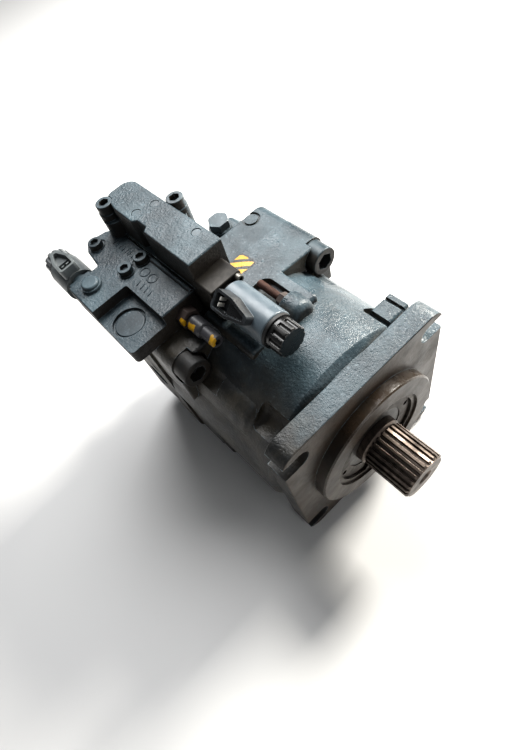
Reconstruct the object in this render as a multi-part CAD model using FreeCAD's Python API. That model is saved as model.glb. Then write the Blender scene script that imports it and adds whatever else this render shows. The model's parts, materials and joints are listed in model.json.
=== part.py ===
import FreeCAD, Part
import math
import os

# Variable-displacement axial piston pump. Millimetres.
# Origin: centre of the mounting flange face, on the shaft axis. +X runs out along the drive shaft, +Z is up.

V = FreeCAD.Vector

# Mounting flange and pilot, four-bolt pattern for a 152.4 mm pilot
FLANGE_HALF_Y = 100.0
FLANGE_HALF_Z = 101.0
FLANGE_THICK = 22.7
FLANGE_CORNER_R = 18.0
BOLT_HALF = 80.8
SLOT_R = 10.3
PILOT_R = 76.2
PILOT_LEN = 12.7
RECESS_R = 56.0

# Housing shell
BODY_R = 105.0
NECK_R = 98.5
SHOULDER_X = -24.5
CAVITY_R = 90.0
CAVITY_FRONT = -40.0
SPLIT_X = -192.0
LOBE_FRONT = -140.0
SCREW_Y = 86.0
SCREW_Z = 85.0
SCREW_SEAT = -150.0

# Rotating group
PISTONS = 9
PITCH_R = 45.5
BALL_CIRCLE_R = 46.64
PISTON_R = 11.05
BORE_R = 12.5
BARREL_R = 63.5
BARREL_FRONT = -115.0
BARREL_REAR = -186.6
BORE_END = -176.0
BALL_R = 9.0
SLIPPER_FACE = 11.0
SHAFT_R = 21.0

# Swashplate: it tilts about an axis through the ball centres' plane
PIVOT_X = -90.0
TRACK_OFFSET = 11.1
PLATE_THICK = 14.0
PLATE_R = 65.0
ARC_R = 44.0
LUG_R = 80.0
DOME_R = 8.0
SERVO_R = 10.98
SERVO_BORE = 11.03
STROKE_ANGLE = 52.0

# Shaft and bearings
SPLINE_TEETH = 24
SPLINE_R = 25.0
SPLINE_ROOT_R = 22.9
SHAFT_END = 65.8
ROLLERS = 18
NEEDLES = 24
APEX_X = 169.0

# Port plate
PLATE_REAR = -235.0
BLOCK_REAR = -275.0
PORT_X = -236.0
SUCTION_Y = 102.0
SUCTION_Z = -20.0
SUCTION_R = 31.5
PRESSURE_Z = -10.0
PRESSURE_R = 16.0
SEAT_Z = 102.0
FITTING = (-262.0, 54.0)
GAUGE_PORT = (-226.0, 74.0)

# Control block and solenoids
SLAB_TOP = 130.0
POCKET_Z = 118.0
UPPER_TOP = 166.0
SPOOL_Y = -21.0
SPOOL_Z = 130.0
SPOOL2_Y = -105.0
SPOOL2_Z = 115.0
COIL_R = 17.5
SLAB_SCREWS = ((-309, -67), (-249, -67), (-248.5, -47.5))
BLOCK_SCREWS = ((-309.5, -36.5), (-248, 11.5))
LOW_HEAD = 0.65
BOSS_HEAD = 0.8
ADJUSTER = (-57.0, 112.0)
ADJUSTER_R = 6.0


def box(x0, x1, y0, y1, z0, z1):
    return Part.makeBox(x1 - x0, y1 - y0, z1 - z0, V(x0, y0, z0))


def cyl(axis, r, a0, a1, p, q):
    """Cylinder along X, Y or Z from a0 to a1; p and q are the other two coordinates in order."""
    origin = {"x": V(a0, p, q), "y": V(p, a0, q), "z": V(p, q, a0)}[axis]
    way = {"x": V(1, 0, 0), "y": V(0, 1, 0), "z": V(0, 0, 1)}[axis]
    return Part.makeCylinder(r, a1 - a0, origin, way)


def ring(axis, r0, r1, a0, a1, p, q):
    return cyl(axis, r1, a0, a1, p, q).cut(cyl(axis, r0, a0 - 1, a1 + 1, p, q))


def spin(points, y=0.0, z=0.0, angle=360.0):
    """Turned solid about the line along X through (y, z); points are (x, radius)."""
    corners = [V(x, 0, r) for x, r in points]
    face = Part.Face(Part.makePolygon(corners + [corners[0]]))
    solid = face.revolve(V(0, 0, 0), V(1, 0, 0), angle)
    solid.translate(V(0, y, z))
    return solid


def prism(points, axis, a0, a1):
    """Straight prism with rounded corners; points are (u, v, corner radius)."""

    def place(u, v):
        return {"x": V(a0, u, v), "y": V(u, a0, v), "z": V(u, v, a0)}[axis]

    count = len(points)
    starts = []
    ends = []
    arcs = []
    for i in range(count):
        pu, pv, _ = points[i - 1]
        u, v, r = points[i]
        nu, nv, _ = points[(i + 1) % count]
        back = V(pu - u, pv - v, 0).normalize()
        ahead = V(nu - u, nv - v, 0).normalize()
        if r <= 0:
            starts.append((u, v))
            ends.append((u, v))
            arcs.append(None)
            continue
        half = back.getAngle(ahead) / 2
        reach = r / math.tan(half)
        middle = (back + ahead).normalize() * (r / math.sin(half) - r)
        starts.append((u + back.x * reach, v + back.y * reach))
        ends.append((u + ahead.x * reach, v + ahead.y * reach))
        arcs.append((u + middle.x, v + middle.y))
    edges = []
    for i in range(count):
        if arcs[i]:
            edges.append(Part.Arc(place(*starts[i]), place(*arcs[i]), place(*ends[i])).toShape())
        follow = starts[(i + 1) % count]
        if math.dist(ends[i], follow) > 1e-6:
            edges.append(Part.makeLine(place(*ends[i]), place(*follow)))
    face = Part.Face(Part.Wire(edges))
    way = {"x": V(1, 0, 0), "y": V(0, 1, 0), "z": V(0, 0, 1)}[axis]
    return face.extrude(way * (a1 - a0))


def at_level(shape, axis, level):
    """Edges that lie wholly at one coordinate."""
    found = []
    for edge in shape.Edges:
        b = edge.BoundBox
        low, high = {"x": (b.XMin, b.XMax), "y": (b.YMin, b.YMax), "z": (b.ZMin, b.ZMax)}[axis]
        if abs(low - level) < 0.01 and abs(high - level) < 0.01:
            found.append(edge)
    return found


def soft(shape, axis, level, r):
    return shape.makeFillet(r, at_level(shape, axis, level))


def hexagon(axis, flats, a0, a1, p, q):
    r = flats / math.sqrt(3)
    points = [
        (p + r * math.cos(math.radians(60 * i + 30)), q + r * math.sin(math.radians(60 * i + 30)), 0)
        for i in range(6)
    ]
    return prism(points, axis, a0, a1)


def hex_nut(axis, flats, bore, a0, a1, p, q):
    """Hexagon with its corners turned off at both ends, and a bore."""
    solid = hexagon(axis, flats, a0, a1, p, q)
    half = flats * 0.5775
    turned = cyl(axis, half, a0, a1, p, q)
    turned = turned.makeChamfer(flats * 0.045, at_level(turned, axis, a0) + at_level(turned, axis, a1))
    solid = solid.common(turned)
    if bore:
        solid = solid.cut(cyl(axis, bore, a0 - 1, a1 + 1, p, q))
    return solid


def cap_screw(axis, thread, seat, head_way, length, p, q, head=1.0):
    """Socket head screw: the head stands on the seat towards head_way, the shank runs the other way.

    The head's height is the given share of the thread.
    """
    head_r = thread * 0.75
    top = seat + head_way * thread * head
    lo, hi = sorted((seat, top))
    solid = cyl(axis, head_r, lo, hi, p, q)
    solid = solid.makeFillet(thread * 0.06, at_level(solid, axis, top))
    depth = top - head_way * thread * 0.55 * head
    lo, hi = sorted((depth, top + head_way))
    solid = solid.cut(hexagon(axis, thread * 0.83, lo, hi, p, q))
    tip = seat - head_way * length
    lo, hi = sorted((seat, tip))
    shank = cyl(axis, thread / 2, lo, hi, p, q)
    shank = shank.makeChamfer(thread * 0.08, at_level(shank, axis, tip))
    return solid.fuse(shank)


def helix_spring(mean_r, wire_r, x0, x1, turns, y=0.0, z=0.0):
    height = x1 - x0 - 2 * wire_r
    path = Part.makeHelix(height / turns, height, mean_r)
    section = Part.Wire([Part.makeCircle(wire_r, V(mean_r, 0, 0), V(0, 1, 0))])
    coil = Part.Wire(path.Edges).makePipeShell([section], True, True)
    coil.rotate(V(0, 0, 0), V(0, 1, 0), 90)
    coil.translate(V(x0 + wire_r, y, z))
    return coil


def stroke_frame(shape):
    """Turns a piece built with its tilt axis along Y to the real tilt axis."""
    turned = shape.copy()
    turned.rotate(V(0, 0, 0), V(1, 0, 0), STROKE_ANGLE)
    return turned


def union(shapes):
    return shapes[0].multiFuse(shapes[1:]).removeSplitter()


def save(name, *solids):
    shape = solids[0] if len(solids) == 1 else Part.makeCompound(list(solids))
    shape.exportStep("parts/" + name + ".step")


def quadrants():
    return [(sy, sz) for sy in (1, -1) for sz in (1, -1)]


# ---------------------------------------------------------------- housing


def flange():
    y, z, r = FLANGE_HALF_Y, FLANGE_HALF_Z, FLANGE_CORNER_R
    plate = prism([(-y, -z, r), (y, -z, r), (y, z, r), (-y, z, r)], "x", -FLANGE_THICK, 0)
    plate = soft(plate, "x", 0, 1.2)
    plate = soft(plate, "x", -FLANGE_THICK, 1.2)
    for sy, sz in quadrants():
        low, high = sorted((sy * BOLT_HALF, sy * (y + 5)))
        mid = sz * BOLT_HALF
        plate = plate.cut(box(-FLANGE_THICK - 1, 1, low, high, mid - SLOT_R, mid + SLOT_R))
        plate = plate.cut(cyl("x", SLOT_R, -FLANGE_THICK - 1, 1, sy * BOLT_HALF, mid))
    return plate


def corner_lobe(sy, sz):
    outer_y = 102.0
    low_z = 40.0
    meets_pad = sy > 0 and sz > 0
    inner_y = 35.0 if meets_pad else 42.0
    inner_z = 105.3 if meets_pad else FLANGE_HALF_Z
    pts = [
        (inner_y * sy, low_z * sz, 0),
        (outer_y * sy, low_z * sz, 0),
        (outer_y * sy, FLANGE_HALF_Z * sz, 15),
        (inner_y * sy, inner_z * sz, 0 if meets_pad else 3),
    ]
    lobe = prism(pts, "x", SPLIT_X, LOBE_FRONT)
    return soft(lobe, "x", LOBE_FRONT, 2.5)


def servo_bulge(side):
    """Cast bulge that carries a servo cylinder, side +1 for stroking and -1 for counter."""
    bulge = cyl("x", 30.0, SPLIT_X, -62.0, 0, side * LUG_R)
    bulge = soft(bulge, "x", -62.0, 7.0)
    return stroke_frame(bulge)


def top_pad():
    """Raised flat on top of the body, with the stop screw's trough and its half-round boss."""
    pad = prism([(-45, 60, 0), (40, 60, 0), (40, 105.3, 3), (-45, 105.3, 6)], "x", -164.0, -92.0)
    pad = soft(pad, "x", -92.0, 4.0)
    wing = prism([(6, 60, 0), (40, 60, 0), (40, 105.3, 3), (6, 105.3, 0)], "x", SPLIT_X, -160.0)
    boss = cyl("x", 15.0, -106.0, -84.0, 15.0, 104.0)
    boss = soft(boss, "x", -84.0, 8.0)
    return [pad, wing, boss]


def side_lug():
    """Slotted lifting lug behind the flange."""
    lug = prism([(-62, 46, 2), (-38, 46, 2), (-38, 70, 3), (-62, 70, 3)], "y", 76, 103)
    lug = soft(lug, "y", 103, 1.5)
    return lug.cut(box(-64, -36, 93, 97, 66, 71))


def housing():
    body = spin(
        [
            (-FLANGE_THICK + 2, 0),
            (-FLANGE_THICK + 2, NECK_R),
            (SHOULDER_X, NECK_R),
            (SHOULDER_X - 6, BODY_R - 1.0),
            (SHOULDER_X - 7.5, BODY_R),
            (SPLIT_X, BODY_R),
            (SPLIT_X, 0),
        ]
    )
    pilot = spin(
        [(-5, 0), (-5, PILOT_R), (PILOT_LEN - 1.5, PILOT_R), (PILOT_LEN, PILOT_R - 1.5), (PILOT_LEN, 0)]
    )
    outside = [body, servo_bulge(1), servo_bulge(-1)] + top_pad()
    outside += [corner_lobe(sy, sz) for sy, sz in quadrants()]
    shell = union(outside)
    for sy, sz in quadrants():
        pocket = cyl("x", 19.0, -62.0, -FLANGE_THICK, sy * BOLT_HALF, sz * BOLT_HALF)
        pocket = soft(pocket, "x", -62.0, 6.0)
        shell = shell.cut(pocket)
        shell = shell.cut(cyl("x", 18.0, SCREW_SEAT, LOBE_FRONT + 30, sy * SCREW_Y, sz * SCREW_Z))
        shell = shell.cut(cyl("x", 10.5, SPLIT_X - 1, SCREW_SEAT + 1, sy * SCREW_Y, sz * SCREW_Z))
    shell = shell.cut(box(SPLIT_X - 1, -163.0, -124, 5.5, 101, 120))
    shell = shell.cut(box(SPLIT_X - 1, -FLANGE_THICK, -60, 60, -BODY_R - 1, -FLANGE_HALF_Z))
    trough = prism([(-150, 4, 4), (-105.9, 4, 2), (-105.9, 27, 2), (-150, 27, 10)], "z", 98.6, 112.0)
    shell = shell.cut(soft(trough, "z", 98.6, 1.5))
    shell = shell.cut(cyl("x", 4.05, -107.0, -87.5, 15.0, 108.0))
    shell = union([shell, flange(), pilot, side_lug()])
    cavity = spin(
        [
            (PILOT_LEN + 1, 0),
            (PILOT_LEN + 1, RECESS_R),
            (-3, RECESS_R),
            (-3, 50.02),
            (-34, 50.02),
            (-34, 44),
            (CAVITY_FRONT, 44),
            (CAVITY_FRONT, CAVITY_R),
            (SPLIT_X - 1, CAVITY_R),
            (SPLIT_X - 1, 0),
        ]
    )
    shell = shell.cut(cavity)
    shell = shell.cut(ring("x", RECESS_R - 1, 58.5, 7.4, 10.2, 0, 0))
    for side in (1, -1):
        boss = stroke_frame(cyl("x", 14.5, SPLIT_X, -118.0, 0, side * LUG_R))
        shell = shell.fuse(boss)
        bore = cyl("x", SERVO_BORE, SPLIT_X - 1, -68.0, 0, side * LUG_R)
        shell = shell.cut(stroke_frame(bore))
    return shell


# ---------------------------------------------------------------- port plate


def kidney(r0, r1, x0, x1, side):
    """Arc slot centred on the tilt axis direction, 124 degrees long."""
    span = 124.0
    arc = spin([(x0, r0), (x1, r0), (x1, r1), (x0, r1)], angle=span)
    arc.rotate(V(0, 0, 0), V(1, 0, 0), -90 - span / 2 + (0 if side > 0 else 180) + STROKE_ANGLE)
    return arc


def tapped_rect(face_y, way, half_x, half_z, centre_z, r, depth):
    low, high = sorted((face_y + way, face_y - way * depth))
    return [
        cyl("y", r, low, high, PORT_X + sx * half_x, centre_z + sz * half_z)
        for sx in (1, -1)
        for sz in (1, -1)
    ]


def port_plate():
    lobed = prism(
        [
            (-105, -FLANGE_HALF_Z, 18),
            (SUCTION_Y, -FLANGE_HALF_Z, 16),
            (SUCTION_Y, FLANGE_HALF_Z, 15),
            (5, FLANGE_HALF_Z, 0),
            (5, SEAT_Z, 0),
            (-105, SEAT_Z, 6),
        ],
        "x",
        PLATE_REAR,
        SPLIT_X,
    )
    lobed = soft(lobed, "x", PLATE_REAR, 2.5)
    rear = prism(
        [
            (-105, -76, 10),
            (SUCTION_Y, -76, 10),
            (SUCTION_Y, 45, 8),
            (76, 79, 8),
            (5, 79, 4),
            (5, SEAT_Z, 0),
            (-105, SEAT_Z, 4),
        ],
        "x",
        BLOCK_REAR,
        PLATE_REAR + 4,
    )
    rear = soft(rear, "x", BLOCK_REAR, 3.0)
    plate = union([lobed, rear])
    plate = plate.cut(cyl("x", 26.02, BLOCK_REAR - 1, SPLIT_X + 1, 0, 0))
    for side in (1, -1):
        plate = plate.cut(kidney(39.0, 52.0, PORT_X, SPLIT_X + 1, side))
    plate = plate.cut(cyl("y", SUCTION_R, 39.0, SUCTION_Y + 1, PORT_X, SUCTION_Z))
    plate = plate.cut(cyl("y", PRESSURE_R, -106, -38.0, PORT_X, PRESSURE_Z))
    for tool in tapped_rect(SUCTION_Y, 1, 25.4, 44.45, SUCTION_Z, 5.1, 24):
        plate = plate.cut(tool)
    for tool in tapped_rect(-105, -1, 15.9, 33.35, PRESSURE_Z, 6.0, 26):
        plate = plate.cut(tool)
    for sy, sz in quadrants():
        plate = plate.cut(cyl("x", 10.02, -226, SPLIT_X + 1, sy * SCREW_Y, sz * SCREW_Z))
        plate = plate.cut(cyl("x", 6.02, BLOCK_REAR - 1, BLOCK_REAR + 24, sy * 32, sz * 32))
    plate = plate.cut(cyl("z", 9.0, 60.0, 80.0, *FITTING))
    plate = plate.cut(ring("z", 7.5, 10.5, 99.0, 103.0, *GAUGE_PORT))
    for x, y in SLAB_SCREWS[1:]:
        plate = plate.cut(cyl("z", 5.02, SEAT_Z - 16, SEAT_Z + 1, x, y))
    return plate


def cover():
    outline = [(-46, -46, 16), (46, -46, 16), (46, 46, 16), (-46, 46, 16)]
    plate = prism(outline, "x", BLOCK_REAR - 12, BLOCK_REAR)
    plate = soft(plate, "x", BLOCK_REAR - 12, 2.0)
    plate = plate.fuse(cyl("x", 25.98, BLOCK_REAR - 1, BLOCK_REAR + 8, 0, 0))
    for sy, sz in quadrants():
        plate = plate.cut(cyl("x", 6.6, BLOCK_REAR - 13, BLOCK_REAR + 1, sy * 32, sz * 32))
    return plate.removeSplitter()


# ---------------------------------------------------------------- shaft and bearings


def spline_shaft():
    """Drive shaft: spline, seal and bearing journals, barrel seat, rear journal, through-drive stub."""
    shaft = spin(
        [
            (SHAFT_END - 3, 0),
            (SHAFT_END - 3, 7),
            (SHAFT_END, 9),
            (SHAFT_END, SPLINE_ROOT_R),
            (16, SPLINE_ROOT_R),
            (13.5, 26),
            (-6, 26),
            (-7, 27.5),
            (-36, 27.5),
            (-36, 32),
            (-42, 32),
            (-43, SHAFT_R),
            (-193, SHAFT_R),
            (-193, 20),
            (-216, 20),
            (-217, 17),
            (-229, 17),
            (-230, 16),
            (-230, 0),
        ]
    )
    pitch = 2 * math.pi / SPLINE_TEETH
    half_root = pitch * 0.29
    half_tip = pitch * 0.19
    root = SPLINE_ROOT_R - 0.6
    teeth = []
    for i in range(SPLINE_TEETH):
        a = i * pitch
        pts = [
            V(16, root * math.cos(a - half_root), root * math.sin(a - half_root)),
            V(16, SPLINE_R * math.cos(a - half_tip), SPLINE_R * math.sin(a - half_tip)),
            V(16, SPLINE_R * math.cos(a + half_tip), SPLINE_R * math.sin(a + half_tip)),
            V(16, root * math.cos(a + half_root), root * math.sin(a + half_root)),
        ]
        face = Part.Face(Part.makePolygon(pts + [pts[0]]))
        teeth.append(face.extrude(V(SHAFT_END - 16, 0, 0)))
    crown = spin([(14, 0), (14, 22), (17.5, 25.6), (SHAFT_END - 3, 25.6), (SHAFT_END, 22.5), (SHAFT_END, 0)])
    teeth = [t.common(crown) for t in teeth]
    return shaft.multiFuse(teeth)


def cone_r(x, degrees):
    return (APEX_X - x) * math.tan(math.radians(degrees))


def front_inner_race():
    return spin(
        [
            (-8, 27.52),
            (-8, cone_r(-8, 9.76) - 0.05),
            (-11.6, cone_r(-11.6, 9.76) - 0.05),
            (-33, cone_r(-33, 9.76) - 0.05),
            (-33, cone_r(-33, 9.76) + 3.0),
            (-36, cone_r(-33, 9.76) + 3.0),
            (-36, 27.52),
        ]
    )


def front_outer_race():
    return spin(
        [(-8.1, cone_r(-8.1, 12.86) + 0.05), (-8.1, 50), (-34, 50), (-34, cone_r(-34, 12.86) + 0.05)]
    )


def front_rollers():
    """Tapered rollers and the cage that spaces them."""
    lean = math.radians(11.31)
    way = V(-math.cos(lean), 0, math.sin(lean))
    start = V(-12, 0, cone_r(-12, 11.31))
    length = 20.2
    solids = []
    gaps = []
    for i in range(ROLLERS):
        roller = Part.makeCone(4.93, 5.48, length, start, way)
        room = Part.makeCone(5.12, 5.68, length + 0.6, start - way * 0.3, way)
        for shape in (roller, room):
            shape.rotate(V(0, 0, 0), V(1, 0, 0), i * 360.0 / ROLLERS)
        solids.append(roller)
        gaps.append(room)
    cage = spin(
        [
            (-9.5, cone_r(-9.5, 11.31) - 0.2),
            (-9.5, cone_r(-9.5, 11.31) + 1.6),
            (-33.6, cone_r(-33.6, 11.31) + 1.6),
            (-33.6, cone_r(-33.6, 11.31) + 0.4),
            (-32.4, cone_r(-32.4, 11.31) - 0.2),
        ]
    )
    for room in gaps:
        cage = cage.cut(room)
    return solids + [cage]


def rear_needles():
    r = 21.95
    needles = []
    for i in range(NEEDLES):
        a = 2 * math.pi * i / NEEDLES
        needles.append(cyl("x", 1.88, -211, -195, r * math.cos(a), r * math.sin(a)))
    return needles


# ---------------------------------------------------------------- rotating group


def station(i, r):
    """Place i on a circle of the rotating group, counted from the stroke direction."""
    a = math.radians(90 + STROKE_ANGLE + 360.0 * i / PISTONS)
    return r * math.cos(a), r * math.sin(a)


def cylinder_block():
    block = spin(
        [
            (BARREL_FRONT, 29),
            (BARREL_FRONT, BARREL_R - 2),
            (BARREL_FRONT - 2, BARREL_R),
            (BARREL_REAR + 1, BARREL_R),
            (BARREL_REAR, BARREL_R - 1),
            (BARREL_REAR, SHAFT_R + 0.03),
            (-150, SHAFT_R + 0.03),
            (-150, 29),
        ]
    )
    for i in range(PISTONS):
        y, z = station(i, PITCH_R)
        block = block.cut(cyl("x", BORE_R, BORE_END, BARREL_FRONT + 1, y, z))
        block = block.cut(cyl("x", 6.0, BARREL_REAR - 1, BORE_END + 1, y, z))
    return block


def piston(i):
    """Piston with its ball. The balls sit on a slightly larger circle than the bores, which is the mean
    of the ellipse that they follow when the swashplate tilts."""
    y, z = station(i, BALL_CIRCLE_R)
    ball = Part.makeSphere(BALL_R, V(PIVOT_X, y, z))
    neck = cyl("x", 5.8, -103, PIVOT_X, y, z)
    stem = spin(
        [
            (-101, 0),
            (-101, PISTON_R - 1.5),
            (-102.5, PISTON_R),
            (-159, PISTON_R),
            (-160, PISTON_R - 1),
            (-160, 7),
            (-112, 7),
            (-108, 0),
        ],
        y,
        z,
    )
    return union([ball, neck, stem])


def slipper(i):
    y, z = station(i, BALL_CIRCLE_R)
    front = PIVOT_X + SLIPPER_FACE
    shoe = spin(
        [
            (front, 0),
            (front, 14.8),
            (front - 3, 14.8),
            (front - 3, 12),
            (PIVOT_X - 2, 12),
            (PIVOT_X - 4, 10.5),
            (PIVOT_X - 4, 0),
        ],
        y,
        z,
    )
    shoe = shoe.cut(Part.makeSphere(BALL_R + 0.05, V(PIVOT_X, y, z)))
    shoe = shoe.cut(cyl("x", 1.2, PIVOT_X, front + 1, y, z))
    return shoe.cut(ring("x", 6.0, 9.5, front - 0.8, front + 1, y, z))


def retainer_plate():
    plate = ring("x", 20, 62.0, PIVOT_X + 4, PIVOT_X + 7.6, 0, 0)
    plate = plate.cut(Part.makeSphere(30.3, V(PIVOT_X, 0, 0)))
    for i in range(PISTONS):
        y, z = station(i, BALL_CIRCLE_R)
        plate = plate.cut(cyl("x", 12.3, PIVOT_X, PIVOT_X + 10, y, z))
    return plate


def ball_guide():
    guide = Part.makeSphere(30.0, V(PIVOT_X, 0, 0))
    guide = guide.common(box(PIVOT_X - 16, PIVOT_X + 16.5, -40, 40, -40, 40))
    return guide.cut(cyl("x", SHAFT_R + 0.03, PIVOT_X - 20, PIVOT_X + 20, 0, 0))


def valve_plate():
    plate = ring("x", 27, 63.0, SPLIT_X, SPLIT_X + 5, 0, 0)
    for side in (1, -1):
        plate = plate.cut(kidney(38.8, 52.2, SPLIT_X - 1, SPLIT_X + 6, side))
    return plate


# ---------------------------------------------------------------- swashplate and servo pistons


def arc_rib(y0, y1, r, face):
    rib = cyl("y", r, y0, y1, PIVOT_X, 0)
    return rib.common(box(PIVOT_X + face, PIVOT_X + r + 1, y0 - 1, y1 + 1, -r, r))


def swashplate():
    front = PIVOT_X + TRACK_OFFSET
    disc = cyl("x", PLATE_R, front, front + PLATE_THICK, 0, 0)
    disc = disc.makeChamfer(1.5, at_level(disc, "x", front + PLATE_THICK))
    pieces = [disc]
    for y0, y1 in ((26, 52), (-52, -26)):
        pieces.append(arc_rib(y0, y1, ARC_R, TRACK_OFFSET + PLATE_THICK - 1))
    for side in (1, -1):
        lug = prism(
            [(-9, side * 60, 0), (9, side * 60, 0), (9, side * 86.5, 4), (-9, side * 86.5, 4)],
            "x",
            front + 1,
            PIVOT_X + 20,
        )
        pad_lo, pad_hi = sorted((side * 65.5, side * 86.0))
        pad = box(PIVOT_X + DOME_R + 0.7, front + 2, -9, 9, pad_lo, pad_hi)
        pieces += [lug, pad]
    plate = union(pieces)
    plate = plate.cut(cyl("x", 31.0, front - 5, PIVOT_X + ARC_R + 2, 0, 0))
    return stroke_frame(plate)


def cradle_sector(r0, r1, y0, y1, low, high):
    """Ring sector about the tilt axis between two angles, measured from +X towards +Z."""
    corners = [V(PIVOT_X + r0, y0, 0), V(PIVOT_X + r1, y0, 0), V(PIVOT_X + r1, y1, 0), V(PIVOT_X + r0, y1, 0)]
    face = Part.Face(Part.makePolygon(corners + [corners[0]]))
    face.rotate(V(PIVOT_X, 0, 0), V(0, -1, 0), low)
    return face.revolve(V(PIVOT_X, 0, 0), V(0, -1, 0), high - low)


def cradle_bearings():
    return [stroke_frame(cradle_sector(44.3, 46.4, y0, y1, -48, 31)) for y0, y1 in ((26, 52), (-52, -26))]


def swash_cradle():
    front = CAVITY_FRONT - 0.02
    low = box(PIVOT_X + 29.5, front, -56, 56, -39, 0)
    high = box(PIVOT_X + 38.5, front, -56, 56, 0, 29)
    block = union([low, high]).cut(cyl("y", 46.45, -60, 60, PIVOT_X, 0))
    return stroke_frame(block.cut(cyl("x", 34.0, -80, -30, 0, 0)))


def servo_piston(side, rear, hollow):
    z = side * LUG_R
    dome = Part.makeSphere(DOME_R, V(PIVOT_X, 0, z))
    neck = cyl("x", 6.0, -104, PIVOT_X, 0, z)
    stem = cyl("x", SERVO_R, rear, -103, 0, z)
    solid = union([dome, neck, stem])
    if hollow:
        solid = solid.cut(cyl("x", 8.0, rear - 1, hollow, 0, z))
    return stroke_frame(solid)


# ---------------------------------------------------------------- control block


def lower_block():
    slab = prism(
        [
            (-172, -37.6, 0.8),
            (-172, -120, 5),
            (-284, -120, 5),
            (-284, -82, 3),
            (-312, -78, 2),
            (-326, -70, 6),
            (-321, -48, 5),
            (-312, -37.6, 2),
        ],
        "z",
        SEAT_Z,
        SLAB_TOP,
    )
    slab = soft(slab, "z", SLAB_TOP, 1.8)
    outline = [(-234.5, -124, 0), (-234.5, -77.5, 3), (-168, -77.5, 0), (-168, -124, 0)]
    corner = prism(outline, "z", POCKET_Z, 140)
    slab = slab.cut(corner)
    ridge = cyl("x", 3.0, -240, -173, -40.7, SLAB_TOP - 0.8)
    slab = slab.fuse(ridge)
    slab = slab.cut(box(-330, -160, -37.6, -30, 100, 140))
    slab = slab.cut(cyl("z", 6.2, SEAT_Z - 1, SLAB_TOP + 5, -309.5, -36.5))
    for x, y in SLAB_SCREWS:
        slab = slab.cut(cyl("z", 5.3, SEAT_Z - 1, SLAB_TOP + 5, x, y))
        slab = slab.cut(ring("z", 8.2, 10.2, SLAB_TOP - 1.2, SLAB_TOP + 5, x, y))
    slab = slab.cut(cyl("z", 15.6, POCKET_Z - 8, POCKET_Z + 1, -205.5, -100))
    slab = slab.cut(cyl("z", 17.4, POCKET_Z - 2.8, POCKET_Z + 1, -205.5, -100))
    slab = slab.cut(cyl("z", 8.02, 121.6, SLAB_TOP + 1, -264, -101))
    slab = slab.cut(cyl("x", 7.0, -285, -236, SPOOL2_Y, SPOOL2_Z))
    slab = slab.cut(cyl("x", ADJUSTER_R + 0.05, -192, -171, *ADJUSTER))
    return slab.removeSplitter()


def upper_block():
    block = prism(
        [
            (-164, 3, 1.5),
            (-316, 3, 14),
            (-316, -30, 10),
            (-290, -35.5, 4),
            (-258, -35.5, 3),
            (-254, -31, 1.5),
            (-239, -31, 1.5),
            (-235, -36.5, 2),
            (-164, -36.5, 1.5),
        ],
        "z",
        SEAT_Z,
        UPPER_TOP,
    )
    block = soft(block, "z", UPPER_TOP, 1.8)
    block = block.cut(box(-330, -262, -60, 20, SEAT_Z - 1, 122))
    web = prism([(-316, -28, 4), (-316, -47, 9), (-298, -47, 7), (-290, -30, 0)], "z", SLAB_TOP + 0.5, 149)
    foot = prism([(-311, -37.4, 2), (-170, -37.4, 2), (-170, -28, 0), (-311, -28, 0)], "z", 122, SLAB_TOP + 2)
    boss_left = soft(cyl("z", 10.0, SLAB_TOP + 0.5, 156, -309.5, -36.5), "z", 156, 1.2)
    boss_right = soft(cyl("z", 10.0, SEAT_Z, 156, -248, 11.5), "z", 156, 1.2)
    wing = prism([(-260, 1, 0), (-230, 1, 0), (-238, 14, 7), (-256, 14, 6)], "z", SEAT_Z, 150)
    block = union([block, web, foot, boss_left, boss_right, wing])
    for x, y in BLOCK_SCREWS:
        block = block.cut(cyl("z", 9.4, 156, 170, x, y))
        block = block.cut(cyl("z", 6.2, 90, 159, x, y))
    for x, y in ((-264, -25), (-258, -6), (-190, -6)):
        block = block.cut(cyl("z", 5.02, 160, 170, x, y))
    block = block.cut(cyl("x", 8.0, -290, -160, SPOOL_Y, SPOOL_Z))
    return block.removeSplitter()


def control_screws():
    screws = [cap_screw("z", 12, 156.0, 1, 36, x, y, BOSS_HEAD) for x, y in BLOCK_SCREWS]
    screws.append(cap_screw("z", 10, SLAB_TOP, 1, 24, *SLAB_SCREWS[0], LOW_HEAD))
    screws += [cap_screw("z", 10, SLAB_TOP, 1, 40, x, y, LOW_HEAD) for x, y in SLAB_SCREWS[1:]]
    return screws


def solenoid_body(face, way, y, z, nose, half, reach):
    """Square flange, core tube and threaded end; built along +X from face, or mirrored."""
    square = prism([(-half, -half, 3), (half, -half, 3), (half, half, 3), (-half, half, 3)], "x", 0, nose)
    square = soft(square, "x", nose, 1.0)
    end = nose + reach
    collar = nose + 5
    tube = spin(
        [
            (nose - 1, 0),
            (nose - 1, 13.2),
            (collar, 13.2),
            (collar, 9),
            (end, 9),
            (end, 5),
            (end + 14, 5),
            (end + 14, 0),
        ]
    )
    body = square.fuse(tube).cut(cyl("x", 6.2, -1, end - 6, 0, 0))
    for sy, sz in ((1, 1), (-1, -1)):
        body = body.cut(cyl("x", 2.7, -1, nose + 1, sy * (half - 5), sz * (half - 5)))
    if way < 0:
        body = body.mirror(V(0, 0, 0), V(1, 0, 0))
    body.translate(V(face, y, z))
    return body.removeSplitter()


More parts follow.
